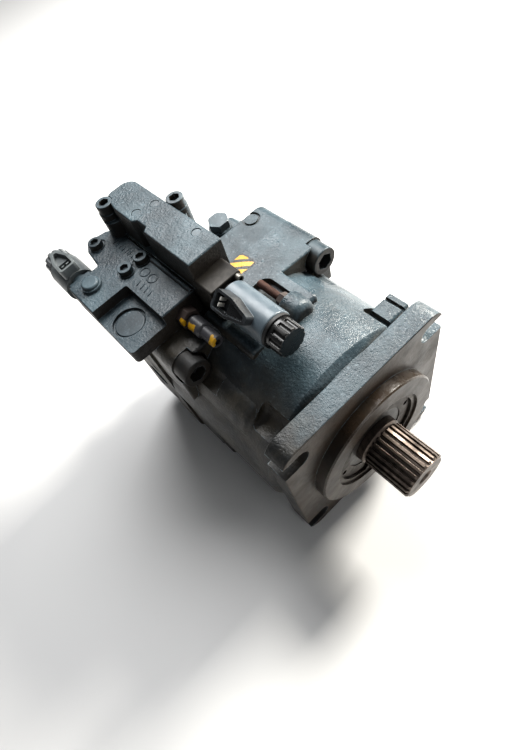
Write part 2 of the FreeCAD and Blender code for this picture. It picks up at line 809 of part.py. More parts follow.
def coil(face, way, y, z, reach):
    """Encapsulated coil with its connector shroud, built along +X from face, or mirrored."""
    body = cyl("x", COIL_R, 0, reach, 0, 0)
    body = soft(body, "x", reach, 1.5)
    foot = prism([(-15, -10, 3), (15, -10, 3), (14, 12, 4), (-14, 12, 4)], "x", 0, 8)
    nose = min(43, reach - 2)
    half = [(1, 9.5, 4), (20, 9.5, 4), (nose, 4, 3)]
    shroud = prism([(u, -v, r) for u, v, r in half] + half[::-1], "z", 8, 27)
    half = [(3.5, 7, 2), (19, 7, 2), (nose - 3.5, 1.8, 1)]
    socket = prism([(u, -v, r) for u, v, r in half] + half[::-1], "z", 22.5, 28)
    socket = socket.fuse(box(4.5, 17.5, -6, 6, 18.5, 23))
    body = union([body, foot, shroud]).cut(socket)
    body = body.cut(cyl("x", 9.1, -1, reach + 1, 0, 0))
    pins = [box(8, 9.4, py - 1.6, py + 1.6, 18.5, 26) for py in (-2.8, 2.8)]
    solids = [body] + pins
    turned = []
    for s in solids:
        if way < 0:
            s = s.mirror(V(0, 0, 0), V(1, 0, 0))
            s.rotate(V(0, 0, 0), V(1, 0, 0), 2)
        else:
            s.rotate(V(0, 0, 0), V(1, 0, 0), 42)
        s.translate(V(face, y, z))
        turned.append(s)
    return turned


def cap_nut(x0, y, z):
    nut = cyl("x", 15.0, x0, x0 + 17, y, z)
    nut = soft(nut, "x", x0 + 17, 1.5)
    for i in range(12):
        a = math.radians(30 * i)
        nut = nut.cut(cyl("x", 2.4, x0 + 4, x0 + 18, y + 15.6 * math.cos(a), z + 15.6 * math.sin(a)))
    return nut.cut(cyl("x", 5.05, x0 - 1, x0 + 15, y, z))


def spool(x_rear, x_front, tip, way, y, z, r):
    """Spool with three lands, push pin and armature in one moving set."""
    ends = (x_rear, x_front)
    length = abs(x_front - x_rear)
    land = length / 5
    start = min(ends)
    core = cyl("x", r - 2.2, start, start + length, y, z)
    lands = [cyl("x", r, start + 2 * i * land, start + (2 * i + 1) * land, y, z) for i in range(3)]
    nose = x_front if way > 0 else x_rear
    lo, hi = sorted((nose, nose + way * tip))
    pin = cyl("x", 2.5, lo, hi, y, z)
    arm_lo, arm_hi = sorted((nose + way * (tip - 32), nose + way * tip))
    armature = cyl("x", 6.1, arm_lo, arm_hi, y, z)
    return union([core, pin, armature] + lands)


def closing_plugs():
    big = soft(cyl("z", 15.5, POCKET_Z - 7, POCKET_Z - 1.6, -205.5, -100), "z", POCKET_Z - 1.6, 1.2)
    collar = cyl("z", 10.6, SLAB_TOP, SLAB_TOP + 3.2, -264, -101)
    button = soft(cyl("z", 9.2, SLAB_TOP + 3, SLAB_TOP + 6.5, -264, -101), "z", SLAB_TOP + 6.5, 2.2)
    cap = union([cyl("z", 8.0, 122, SLAB_TOP + 1, -264, -101), collar, button])
    plugs = [big, cap]
    for x, y in ((-264, -25), (-258, -6), (-190, -6)):
        disc = soft(cyl("z", 4.95, 160.2, UPPER_TOP - 0.4, x, y), "z", UPPER_TOP - 0.4, 0.8)
        plugs.append(disc)
    x, y = FITTING
    hexed = union([hex_nut("z", 22, 0, 87, 97, x, y), cyl("z", 13.5, 79.02, 87.5, x, y)])
    plugs.append(hexed.fuse(cyl("z", 8.96, 62, 80, x, y)).removeSplitter())
    return plugs


def stop_screw():
    thread = cyl("x", 4.0, -146, -91.0, 15.0, 108.0)
    thread = thread.makeChamfer(0.8, at_level(thread, "x", -146) + at_level(thread, "x", -91.0))
    for i in range(22):
        x = -144.5 + 1.5 * i
        thread = thread.cut(ring("x", 3.45, 5, x, x + 0.7, 15.0, 108.0))
    return thread.cut(hexagon("x", 4, -147, -142, 15.0, 108.0))


def adjuster_screw():
    """Screw with a stepped sleeve on its outer end."""
    stem = cyl("x", ADJUSTER_R, -188, -150, *ADJUSTER)
    stem = stem.makeChamfer(0.8, at_level(stem, "x", -188))
    sleeve = cyl("x", 8.4, -157.0, -141.0, *ADJUSTER)
    sleeve = sleeve.makeChamfer(1.4, at_level(sleeve, "x", -141.0))
    tip = soft(cyl("x", 6.4, -142.0, -122.0, *ADJUSTER), "x", -122.0, 1.2)
    screw = union([stem, sleeve, tip])
    return screw.cut(hexagon("x", 6, -127, -121, *ADJUSTER))


# ---------------------------------------------------------------- files


def fixed_pieces():
    save("housing", housing())
    save("port_plate", port_plate())
    save("through_drive_cover", cover())
    m20 = [cap_screw("x", 20, SCREW_SEAT, 1, 70, sy * SCREW_Y, sz * SCREW_Z) for sy, sz in quadrants()]
    save("housing_screws", *m20)
    m12 = [cap_screw("x", 12, BLOCK_REAR - 12, -1, 34, sy * 32, sz * 32) for sy, sz in quadrants()]
    save("cover_screws", *m12)
    save("front_bearing_outer_race", front_outer_race())
    save("rear_bearing_cup", ring("x", 23.9, 26.0, -213, -193, 0, 0))
    save("shaft_seal", spin([(6, 26.05), (6, 35.9), (-2.5, 35.9), (-2.5, 31), (2, 29), (-2, 26.05)]))
    carrier = spin(
        [(6.9, 36), (7.1, 55.9), (-3, 55.9), (-3, 49.9), (-8, 49.9), (-8, 46.5), (-3, 46.5), (-3, 36)]
    )
    carrier = carrier.cut(ring("x", 53.6, 60, -0.5, 2.7, 0, 0))
    for i in range(6):
        a = math.radians(60 * i + 12)
        carrier = carrier.cut(cyl("x", 3.0, 2.0, 9, 45.5 * math.cos(a), 45.5 * math.sin(a)))
    save("seal_carrier", carrier)
    clip = ring("x", 50.5, 58.3, 7.5, 10.1, 0, 0).cut(box(7, 11, -7, 7, -60, -40))
    for sy in (1, -1):
        ear = cyl("x", 5.2, 7.5, 10.1, sy * 13.5, -48.5)
        clip = clip.fuse(ear).cut(cyl("x", 1.6, 7, 11, sy * 13.5, -48.5))
    save("seal_retaining_ring", clip.removeSplitter())
    save("swash_cradle", swash_cradle())
    save("cradle_bearings", *cradle_bearings())
    save("valve_plate", valve_plate())


def control_pieces():
    save("lower_control_block", lower_block())
    save("upper_control_block", upper_block())
    save("control_screws", *control_screws())
    save("solenoid_1_tube", solenoid_body(-164, 1, SPOOL_Y, SPOOL_Z, 25, 18, 64))
    save("solenoid_2_tube", solenoid_body(-284, -1, SPOOL2_Y, SPOOL2_Z, 4, 13.9, 46))
    save("solenoid_1_coil", *coil(-133.8, 1, SPOOL_Y, SPOOL_Z, 55.8))
    save("solenoid_2_coil", *coil(-293.2, -1, SPOOL2_Y, SPOOL2_Z, 37.8))
    seals = [ring("x", 9.15, 16.6, -78, -75, SPOOL_Y, SPOOL_Z)]
    seals.append(ring("x", 9.15, 16.6, -334, -331, SPOOL2_Y, SPOOL2_Z))
    save("coil_seal_rings", *seals)
    front_cap = cap_nut(-75, SPOOL_Y, SPOOL_Z)
    rear_cap = cap_nut(0, 0, 0).mirror(V(0, 0, 0), V(1, 0, 0))
    rear_cap.translate(V(-334, SPOOL2_Y, SPOOL2_Z))
    save("coil_cap_nuts", front_cap, rear_cap)
    small = []
    for sy, sz in ((1, 1), (-1, -1)):
        small.append(cap_screw("x", 5, -139, 1, 24, SPOOL_Y + sy * 13, SPOOL_Z + sz * 13))
    save("solenoid_screws", *small)
    nuts = [hex_nut("x", 13, 4.05, -115, -106.02, 15.0, 108.0)]
    nuts.append(hex_nut("x", 19, ADJUSTER_R + 0.05, -172 + 0.02, -162, *ADJUSTER))
    save("adjuster_locknuts", *nuts)
    save("closing_plugs", *closing_plugs())
    springs = [helix_spring(5.2, 0.9, -289.5, -276.5, 5, SPOOL_Y, SPOOL_Z)]
    springs.append(helix_spring(4.6, 0.8, -249.5, -236.5, 5, SPOOL2_Y, SPOOL2_Z))
    save("spool_springs", *springs)
    save("spool_1", spool(-275, -190, 104, 1, SPOOL_Y, SPOOL_Z, 7.95))
    save("spool_2", spool(-282, -250, 42, -1, SPOOL2_Y, SPOOL2_Z, 6.95))
    save("stop_screw", stop_screw())
    save("adjuster_screw", adjuster_screw())


def moving_pieces():
    save("drive_shaft", spline_shaft())
    save("cylinder_block", cylinder_block())
    save("ball_guide", ball_guide())
    save("barrel_spring", helix_spring(25.0, 1.7, -149.8, -106.2, 5))
    save("retainer_plate", retainer_plate())
    save("front_bearing_inner_race", front_inner_race())
    save("front_bearing_rollers", *front_rollers())
    save("rear_bearing_needles", *rear_needles())
    for i in range(PISTONS):
        save("piston_%d" % (i + 1), piston(i))
        save("slipper_%d" % (i + 1), slipper(i))
    save("swashplate", swashplate())
    save("stroking_piston", servo_piston(1, -165, None))
    save("counter_piston", servo_piston(-1, -150, -124))
    save("counter_spring", stroke_frame(helix_spring(6.2, 1.2, -191.8, -124.3, 9, 0, -LUG_R)))


os.makedirs("parts", exist_ok=True)
fixed_pieces()
control_pieces()
moving_pieces()
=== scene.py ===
import json
import math

import bpy
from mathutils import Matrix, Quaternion, Vector


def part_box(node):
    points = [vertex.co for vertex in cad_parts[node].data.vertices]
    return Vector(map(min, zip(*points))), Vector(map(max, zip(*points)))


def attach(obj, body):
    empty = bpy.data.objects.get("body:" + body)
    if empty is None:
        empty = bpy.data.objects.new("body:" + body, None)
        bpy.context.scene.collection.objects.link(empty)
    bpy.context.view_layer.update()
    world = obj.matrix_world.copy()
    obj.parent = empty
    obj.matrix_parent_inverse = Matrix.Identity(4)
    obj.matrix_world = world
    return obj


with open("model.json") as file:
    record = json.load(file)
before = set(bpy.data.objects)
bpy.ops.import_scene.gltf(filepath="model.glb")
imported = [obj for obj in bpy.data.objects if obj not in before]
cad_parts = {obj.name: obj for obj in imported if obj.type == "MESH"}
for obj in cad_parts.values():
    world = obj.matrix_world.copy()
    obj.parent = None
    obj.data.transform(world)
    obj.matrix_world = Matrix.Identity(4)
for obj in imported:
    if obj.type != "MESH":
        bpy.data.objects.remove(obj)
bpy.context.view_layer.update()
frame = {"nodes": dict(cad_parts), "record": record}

NODES = frame["nodes"]


# ---------------------------------------------------------------- materials


class Net:
    """A node material under construction; every texture uses the part's own coordinates in metres."""

    def __init__(self, name):
        self.mat = bpy.data.materials.new(name)
        self.mat.use_nodes = True
        self.tree = self.mat.node_tree
        self.shader = self.tree.nodes["Principled BSDF"]
        self.place = self.tree.nodes.new("ShaderNodeTexCoord").outputs["Object"]
        self.geometry = self.tree.nodes.new("ShaderNodeNewGeometry")

    def add(self, kind, links=(), **settings):
        node = self.tree.nodes.new(kind)
        for key, value in settings.items():
            setattr(node, key, value)
        for socket, value in links:
            if hasattr(value, "is_output"):
                self.tree.links.new(value, node.inputs[socket])
            else:
                node.inputs[socket].default_value = value
        return node

    def noise(self, scale, detail=4.0, rough=0.55, distort=0.0):
        links = [("Vector", self.place), ("Scale", scale), ("Detail", detail)]
        links += [("Roughness", rough), ("Distortion", distort)]
        made = self.add("ShaderNodeTexNoise", links)
        return made.outputs["Fac"]

    def cells(self, scale, feature="F1"):
        made = self.add("ShaderNodeTexVoronoi", [("Vector", self.place), ("Scale", scale)], feature=feature)
        return made.outputs["Distance"]

    def span(self, value, low, high, out_low=0.0, out_high=1.0):
        """Smooth step from out_low to out_high as value goes from low to high."""
        links = [("Value", value), ("From Min", low), ("From Max", high)]
        links += [("To Min", out_low), ("To Max", out_high)]
        return self.add("ShaderNodeMapRange", links, interpolation_type="SMOOTHSTEP").outputs["Result"]

    def math(self, operation, a, b=0.0, clamp=False):
        return self.add("ShaderNodeMath", [(0, a), (1, b)], operation=operation, use_clamp=clamp).outputs[0]

    def vector(self, operation, a, b):
        return self.add("ShaderNodeVectorMath", [(0, a), (1, b)], operation=operation)

    def mix(self, factor, a, b):
        made = self.add("ShaderNodeMix", data_type="RGBA")
        for index, value in ((0, factor), (6, a), (7, b)):
            if hasattr(value, "is_output"):
                self.tree.links.new(value, made.inputs[index])
            else:
                made.inputs[index].default_value = value
        return made.outputs[2]

    def edges(self, radius, low=0.02, high=0.16):
        """Near 1 on sharp edges: the rounded normal leaves the flat one there."""
        rounded = self.add("ShaderNodeBevel", [("Radius", radius)], samples=4).outputs[0]
        dot = self.vector("DOT_PRODUCT", rounded, self.geometry.outputs["Normal"])
        return self.span(self.math("SUBTRACT", 1.0, dot.outputs["Value"]), low, high)

    def hollows(self, reach):
        """Near 1 deep in corners and gaps; the mask for painted shade."""
        made = self.add("ShaderNodeAmbientOcclusion", [("Distance", reach)], samples=6)
        return self.math("SUBTRACT", 1.0, made.outputs["AO"], clamp=True)

    def facing(self, axis):
        """The surface normal's share along an axis: 0 for X, 1 for Y, 2 for Z."""
        return self.part(self.geometry.outputs["Normal"], axis)

    def part(self, vector, axis):
        return self.add("ShaderNodeSeparateXYZ", [(0, vector)]).outputs[axis]

    def patch(self, centre, half, ragged):
        """1 inside a box with a ragged outline."""
        away = self.vector("SUBTRACT", self.place, centre).outputs[0]
        size = self.add("ShaderNodeVectorMath", [(0, away)], operation="ABSOLUTE").outputs[0]
        share = self.vector("DIVIDE", size, half).outputs[0]
        parts = self.add("ShaderNodeSeparateXYZ", [(0, share)]).outputs
        widest = self.math("MAXIMUM", self.math("MAXIMUM", parts[0], parts[1]), parts[2])
        tear = self.math("MULTIPLY", self.math("SUBTRACT", self.noise(160, 5), 0.5), ragged)
        torn = self.math("ADD", widest, tear)
        return self.span(torn, 0.9, 1.0, 1.0, 0.0)

    def bumps(self, layers, soften):
        """Stacks (height, strength, distance) layers over a slightly rounded normal."""
        normal = self.add("ShaderNodeBevel", [("Radius", soften)], samples=4).outputs[0]
        for height, strength, distance in layers:
            normal = self.add(
                "ShaderNodeBump",
                [("Height", height), ("Strength", strength), ("Distance", distance), ("Normal", normal)],
            ).outputs[0]
        self.tree.links.new(normal, self.shader.inputs["Normal"])

    def finish(self, colour, roughness, metallic=0.0, coat=0.0, coat_rough=0.2, specular=0.5):
        for name, value in (("Base Color", colour), ("Roughness", roughness), ("Metallic", metallic)):
            if hasattr(value, "is_output"):
                self.tree.links.new(value, self.shader.inputs[name])
            else:
                self.shader.inputs[name].default_value = value
        self.shader.inputs["Coat Weight"].default_value = coat
        self.shader.inputs["Coat Roughness"].default_value = coat_rough
        self.shader.inputs["Specular IOR Level"].default_value = specular
        return self.mat


def rgb(r, g, b):
    """sRGB 0-255 to a linear colour."""
    linear = [((v / 255 + 0.055) / 1.055) ** 2.4 if v > 10 else v / 255 / 12.92 for v in (r, g, b)]
    return (*linear, 1.0)


PAINT = rgb(70, 87, 95)
PAINT_PALE = rgb(130, 148, 158)
PAINT_DEEP = rgb(38, 51, 58)
# The three dark browns below colour real grime and oily stains, and also the painted shade on sides and in corners;
# the darkest also prints the label's bars.
GRIME = rgb(36, 30, 23)
MUD = rgb(66, 59, 47)
BROWN_BLACK = rgb(17, 15, 13)
IRON = rgb(54, 42, 31)
BARE = rgb(128, 122, 114)
RUST = rgb(92, 56, 34)
YELLOW = rgb(196, 146, 2)
BLACK = rgb(12, 12, 12)


# ---------------------------------------------------------------- places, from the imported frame


def middle(node):
    low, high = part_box(node)
    return (low + high) / 2


SLAB_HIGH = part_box("lower_control_block")[1]
BLOCK_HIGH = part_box("upper_control_block")[1]
RIDGE = 0.0022  # the ridge stands this far above the slab
SLAB_TOP = SLAB_HIGH.z - RIDGE
LOBE_RISE = 0.015  # the lobes stand this far above the top pad
PAD_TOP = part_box("housing")[1].z - LOBE_RISE
TUBE_1 = middle("solenoid_1_tube")
SLEEVE_R = 0.0175  # a coil's steel sleeve
COIL_1 = (TUBE_1.y, TUBE_1.z, SLEEVE_R)
PIN_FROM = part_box("solenoid_1_coil")[0].x + 0.0078
PIN_THICK = 0.0018
SHROUD_TURN = 42.0  # degrees from the horizontal
PINS_1 = (PIN_FROM, PIN_FROM + PIN_THICK, SHROUD_TURN)
ADJUSTER = middle("adjuster_screw")
ADJUSTER_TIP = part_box("adjuster_screw")[1].x
REAR_CAP_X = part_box("coil_cap_nuts")[0].x + 0.051  # between the rear cap nut and the front one
PILOT_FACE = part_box("housing")[1].x
BARE_FROM = PILOT_FACE - 0.0142
# Painted shade that darkens towards the left side: none at the first y, full at the second.
HOUSING_LEFT_SHADE = (-0.03, -0.08)
SCREW_LEFT_SHADE = (0.0, -0.06)


def striped(net, centre, half):
    """A marking label: yellow with black slanting bars and a dark rim."""
    slant = net.add("ShaderNodeMapping", [("Vector", net.place), ("Rotation", (0.0, 0.0, 0.9))]).outputs[0]
    settings = [("Vector", slant), ("Scale", 34.0), ("Distortion", 1.4), ("Detail", 2.0)]
    bars = net.add("ShaderNodeTexWave", settings)
    bar = net.span(bars.outputs["Fac"], 0.64, 0.70)
    inside = net.patch(centre, half, 0.35)
    core = net.patch(centre, tuple(h * 0.82 for h in half), 0.5)
    return inside, net.mix(net.math("SUBTRACT", core, bar, clamp=True), BROWN_BLACK, YELLOW)


def painted_iron(
    name, cast=0.5, dirt_and_shade=0.5, wear=0.5, label=None, bare_from=None, dirt_and_shade_tint=GRIME, left_shade=None, gloss=0.0
):
    """Blue-grey enamel over a sand-cast or machined surface, with oily grime, rubbed edges, and painted shade on
    faces turned from the lamps and in corners.

    label (centre, half size) is a striped patch, and forward faces beyond bare_from are bare metal.
    left_shade (y none, y full) is painted shade that deepens towards the left side.
    """
    net = Net(name)
    cloud = net.noise(18, 6, 0.6)
    speck = net.noise(260, 5, 0.65)
    base = net.mix(net.span(cloud, 0.35, 0.7), PAINT_DEEP, PAINT)
    base = net.mix(net.span(speck, 0.55, 0.8, 0.0, 0.55), base, PAINT_PALE)
    # Painted shade: faces that do not face up are darkened, less where they face the right and back lamps, and
    # left-facing faces strongly.
    right = net.span(net.facing(1), 0.1, 0.6)
    back = net.span(net.facing(0), -0.6, -0.1, 1.0, 0.0)
    lamp_facing = net.math("MAXIMUM", right, back)
    sloping = net.span(net.facing(2), 0.05, 0.6, 1.0, 0.0)
    steep = net.math("MULTIPLY", sloping, net.span(lamp_facing, 0, 1, 1.0, 0.35))
    left = net.span(net.facing(1), -0.75, -0.2, 1.0, 0.0)
    side = net.math("MAXIMUM", steep, net.math("MULTIPLY", left, 0.9))
    # Painted shade in corners and gaps.
    corner_shade = net.span(net.hollows(0.018), 0.25, 0.85)
    # From here random oily stains and the painted shade of sides and corners are mixed into one dark layer.
    stain = net.noise(34, 8, 0.62, 0.4)
    reach = net.math("ADD", net.span(stain, 0.4, 0.66), side, clamp=True)
    film = net.math("MULTIPLY", reach, net.math("ADD", net.math("MULTIPLY", side, 0.98), 0.06))
    soil_and_shade = net.math("MAXIMUM", film, net.math("MULTIPLY", corner_shade, 0.95), clamp=True)
    soil_and_shade = net.math("MULTIPLY", soil_and_shade, dirt_and_shade, clamp=True)
    # Painted shade that darkens the part towards the left side.
    if left_shade:
        sideways = net.part(net.place, 1)
        ragged = net.math("ADD", sideways, net.math("MULTIPLY", net.math("SUBTRACT", stain, 0.5), 0.06))
        soil_and_shade = net.math("MAXIMUM", soil_and_shade, net.span(ragged, left_shade[1], left_shade[0], 0.93, 0.0))
    dirt_and_shade_colour = net.mix(net.span(net.noise(26, 5, 0.6), 0.36, 0.62, 0.0, 0.75), BROWN_BLACK, dirt_and_shade_tint)
    colour = net.mix(soil_and_shade, base, dirt_and_shade_colour)
    scuff = net.math("MULTIPLY", net.edges(0.0012), net.span(net.noise(120, 6, 0.7), 0.42, 0.62))
    colour = net.mix(net.math("MULTIPLY", scuff, wear, clamp=True), colour, PAINT_PALE)
    chips = net.span(net.noise(75, 7, 0.75, 0.6), 0.69, 0.72)
    colour = net.mix(net.math("MULTIPLY", chips, 0.8 * wear, clamp=True), colour, RUST)
    if bare_from is not None:
        along = net.part(net.place, 0)
        beyond = net.span(along, bare_from - 0.0004, bare_from)
        front = net.math("MULTIPLY", beyond, net.span(net.facing(0), 0.5, 0.8))
        ring = net.span(along, 0.0002, 0.0006)
        metal = net.mix(net.span(net.noise(30, 7, 0.6), 0.38, 0.66), IRON, GRIME)
        metal = net.mix(net.math("MULTIPLY", net.edges(0.001), 0.7), metal, BARE)
        bare = net.math("MAXIMUM", front, ring)
        colour = net.mix(bare, colour, metal)
    if label:
        inside, print_colour = striped(net, *label)
        colour = net.mix(inside, colour, print_colour)
    rough = net.span(stain, 0.3, 0.75, 0.3 - gloss, 0.52 - gloss)
    rough = net.math("ADD", rough, net.math("MULTIPLY", soil_and_shade, 0.18))
    grain = net.noise(420, 4, 0.6)
    lumps = net.noise(95, 3, 0.5)
    pits = net.span(net.cells(260), 0.0, 0.28)
    if bare_from is not None:
        kept = net.math("SUBTRACT", 1.0, net.math("MULTIPLY", bare, 0.85))
        grain = net.math("MULTIPLY", grain, kept)
        pits = net.math("MULTIPLY", pits, kept)
    layers = [(lumps, 0.30 * cast, 0.0016), (grain, 0.8 * cast, 0.0009)]
    layers += [(pits, 0.4 * cast, 0.0005), (chips, 0.3, -0.0003)]
    net.bumps(layers, 0.0007)
    return net.finish(colour, rough, specular=0.42)


def machined(name, tint, dark, rough=0.34, metal=0.9, stain=0.5, edge=0.6, groove=0.006):
    """Turned or ground steel with fine tool marks and oil stains, painted shade in grooves and painted highlights
    on its edges.
    """
    net = Net(name)
    cloud = net.noise(45, 6, 0.62, 0.3)
    film = net.math("MULTIPLY", net.span(cloud, 0.42, 0.7), stain)
    colour = net.mix(film, tint, dark)
    # Painted shade in grooves and gaps.
    corner_shade = net.math("MULTIPLY", net.span(net.hollows(groove), 0.12, 0.7), 0.92)
    colour = net.mix(corner_shade, colour, dark)
    # Painted highlight: sharp edges get a lighter copy of the steel's tint.
    bright = tuple(min(1.0, c * 1.7) for c in tint[:3]) + (1.0,)
    colour = net.mix(net.math("MULTIPLY", net.edges(0.0007), edge), colour, bright)
    marks = net.noise(600, 3, 0.6)
    spread = net.span(cloud, 0.3, 0.75, rough, rough + 0.22)
    net.bumps([(marks, 0.16, 0.0003), (net.noise(70, 3), 0.12, 0.0006)], 0.0004)
    return net.finish(colour, spread, metallic=metal)


def moulded(name, tint, pale, rough=0.5, grain=0.25, dust=0.5, core=None, pins=None, rear=None):
    """Moulded plastic or rubber with a fine grain, dust, and painted shade in its corners.

    core (y, z, radius) is a sleeve in it, pins (low x, high x, degrees) are its bright contacts, and rear (x, tint)
    gives the part behind x a lighter tint: painted light that makes that part look sunlit.
    """
    net = Net(name)
    cloud = net.noise(60, 6, 0.6, 0.3)
    if core:
        y, z, radius = core
        away = net.vector("SUBTRACT", net.place, (0, y, z)).outputs[0]
        flat = net.vector("MULTIPLY", away, (0, 1, 1)).outputs[0]
        far = net.add("ShaderNodeVectorMath", [(0, flat)], operation="LENGTH").outputs["Value"]
        tint = net.mix(net.span(far, radius + 0.0001, radius + 0.0005), tint, rgb(30, 31, 32))
    # Painted light: the part behind x gets a lighter tint, to look sunlit.
    if rear:
        behind = net.span(net.part(net.place, 0), rear[0] - 0.001, rear[0] + 0.001, 1.0, 0.0)
        tint = net.mix(behind, tint, rear[1])
    colour = net.mix(net.math("MULTIPLY", net.span(cloud, 0.45, 0.72), dust), tint, pale)
    colour = net.mix(net.math("MULTIPLY", net.edges(0.0006), 0.5), colour, pale)
    # Painted shade in corners and gaps.
    colour = net.mix(net.math("MULTIPLY", net.span(net.hollows(0.008), 0.3, 0.9), 0.6), colour, BROWN_BLACK)
    if pins:
        low, high, angle = pins
        turn = (0.0, math.cos(math.radians(angle)), math.sin(math.radians(angle)))
        across = net.vector("DOT_PRODUCT", flat, turn).outputs["Value"]
        near = net.span(net.math("ABSOLUTE", across), 0.0045, 0.0050, 1.0, 0.0)
        along = net.part(net.place, 0)
        past_low = net.math("GREATER_THAN", along, low)
        inside = net.math("MULTIPLY", past_low, net.math("LESS_THAN", along, high))
        tall = net.math("GREATER_THAN", far, radius + 0.0015)
        pin = net.math("MULTIPLY", net.math("MULTIPLY", near, inside), tall)
        colour = net.mix(pin, colour, rgb(214, 212, 204))
    net.bumps([(net.noise(900, 3, 0.6), grain, 0.0003), (net.noise(110, 3), 0.12, 0.0006)], 0.0005)
    return net.finish(colour, net.span(cloud, 0.3, 0.75, rough - 0.1, rough + 0.15))


def flaked(name, under, tint, spots):
    """A fitting with torn remains of marking paint in spots (centre, half size)."""
    net = Net(name)
    keep = 0.0
    for centre, half in spots:
        keep = net.math("MAXIMUM", keep, net.patch(centre, half, 1.6))
    colour = net.mix(keep, under, tint)
    # Painted shade in corners and gaps.
    colour = net.mix(net.math("MULTIPLY", net.span(net.hollows(0.005), 0.3, 0.9), 0.7), colour, BROWN_BLACK)
    net.bumps([(keep, 0.5, 0.0003), (net.noise(300, 4), 0.3, 0.0003)], 0.0005)
    return net.finish(colour, net.span(net.noise(60, 4), 0.3, 0.7, 0.38, 0.6))


SLOT_OF = {entry["node"]: entry["material_slot"] for entry in frame["record"]["subparts"]}


def dress():
    """Gives every CAD node its material."""
    # The rear cap nut gets a lighter grey: painted light, for a sunlit cap.
    rear_cap = (REAR_CAP_X, rgb(98, 102, 104))
    pad_label = ((BLOCK_HIGH.x - 0.0185, BLOCK_HIGH.y + 0.001, PAD_TOP), (0.0135, 0.0115, 0.012))
    sleeve_spot = Vector((ADJUSTER_TIP - 0.030, ADJUSTER.y - 0.008, ADJUSTER.z + 0.005))
    tip_spot = Vector((ADJUSTER_TIP - 0.0015, ADJUSTER.y - 0.0035, ADJUSTER.z + 0.0035))
    nut_spot = Vector((ADJUSTER_TIP - 0.042, ADJUSTER.y - 0.010, ADJUSTER.z + 0.004))
    adjuster_paint = [(sleeve_spot, (0.0045, 0.0042, 0.0042)), (tip_spot, (0.0045, 0.0040, 0.0045))]
    nut_paint = [(nut_spot, (0.003, 0.004, 0.004))]
    looks = {
        "housing": painted_iron(
            "housing_paint", 0.9, 0.95, 1.0, pad_label, BARE_FROM, MUD, HOUSING_LEFT_SHADE, 0.10
        ),
        "port_plate": painted_iron("port_plate_paint", 0.8, 1.0, 0.6, dirt_and_shade_tint=MUD),
        "lower_control_block": painted_iron("lower_block_paint", 0.95, 1.0, 0.9, gloss=0.04),
        "upper_control_block": painted_iron("upper_block_paint", 0.9, 1.0, 0.9, gloss=0.04),
        "through_drive_cover": painted_iron("cover_paint", 0.6, 0.7, 0.5),
        "housing_screws": painted_iron("screw_paint", 0.15, 1.4, 0.5, left_shade=SCREW_LEFT_SHADE),
        "cover_screws": painted_iron("cover_screw_paint", 0.15, 0.7, 0.8),
        "control_screws": painted_iron("control_screw_paint", 0.15, 1.1, 0.9),
        "closing_plugs": painted_iron("plug_paint", 0.2, 0.5, 0.9),
        "solenoid_1_tube": machined("tube_1_oxide", rgb(40, 37, 33), rgb(14, 13, 12), 0.4, 0.55, 0.8),
        "solenoid_2_tube": painted_iron("tube_2_paint", 0.2, 0.7, 0.7),
        "adjuster_screw": flaked("adjuster_paint", rgb(58, 58, 62), YELLOW, adjuster_paint),
        "adjuster_locknuts": flaked("nut_paint", rgb(66, 56, 52), YELLOW, nut_paint),
        "drive_shaft": machined("shaft_steel", rgb(108, 97, 89), rgb(24, 20, 17), 0.34, 0.9, 0.85, 0.6, 0.004),
        "seal_carrier": machined("carrier_iron", rgb(54, 47, 41), rgb(22, 18, 15), 0.42, 0.7, 0.8),
        "seal_retaining_ring": machined("clip_steel", rgb(64, 58, 52), rgb(26, 22, 18), 0.4, 0.8, 0.7),
        "solenoid_screws": machined("small_screw_steel", rgb(120, 118, 112), rgb(50, 46, 40), 0.36, 0.9, 0.4),
        "stop_screw": machined("stop_screw_rust", rgb(84, 56, 46), rgb(34, 22, 18), 0.55, 0.35, 0.8),
        "solenoid_1_coil": moulded(
            "coil_1_grey", rgb(84, 96, 104), rgb(112, 124, 132), 0.34, 0.12, 0.2, COIL_1, PINS_1
        ),
        "solenoid_2_coil": moulded("coil_2_grey", rgb(84, 90, 92), rgb(128, 134, 134), 0.42, 0.25, 0.6),
        "coil_cap_nuts": moulded("cap_black", BLACK, rgb(40, 41, 42), 0.3, 0.1, 0.2, rear=rear_cap),
        "coil_seal_rings": moulded("seal_black", rgb(14, 14, 14), rgb(40, 40, 40), 0.6, 0.3, 0.3),
        "shaft_seal": moulded("lip_black", rgb(20, 17, 15), rgb(52, 46, 40), 0.45, 0.3, 0.6),
    }
    ground = machined("ground_steel", rgb(150, 150, 148), rgb(92, 90, 86), 0.24, 1.0, 0.3)
    bronze = machined("bearing_bronze", rgb(176, 138, 78), rgb(110, 82, 44), 0.3, 1.0, 0.3)
    bearing = machined("bearing_steel", rgb(176, 176, 176), rgb(120, 118, 116), 0.16, 1.0, 0.2)
    inner = {"brass": bronze, "brushed_steel": ground}
    slots = {entry["slot"]: entry for entry in frame["record"]["materials"]}
    for name, node in NODES.items():
        look = looks.get(name)
        if look is None and SLOT_OF[name] == "bearing_steel":
            look = bearing
        if look is None:
            look = inner.get(slots[SLOT_OF[name]]["class"], ground)
        for index in range(len(node.data.materials)):
            node.data.materials[index] = look
    return looks


looks = dress()


# ---------------------------------------------------------------- cast marks


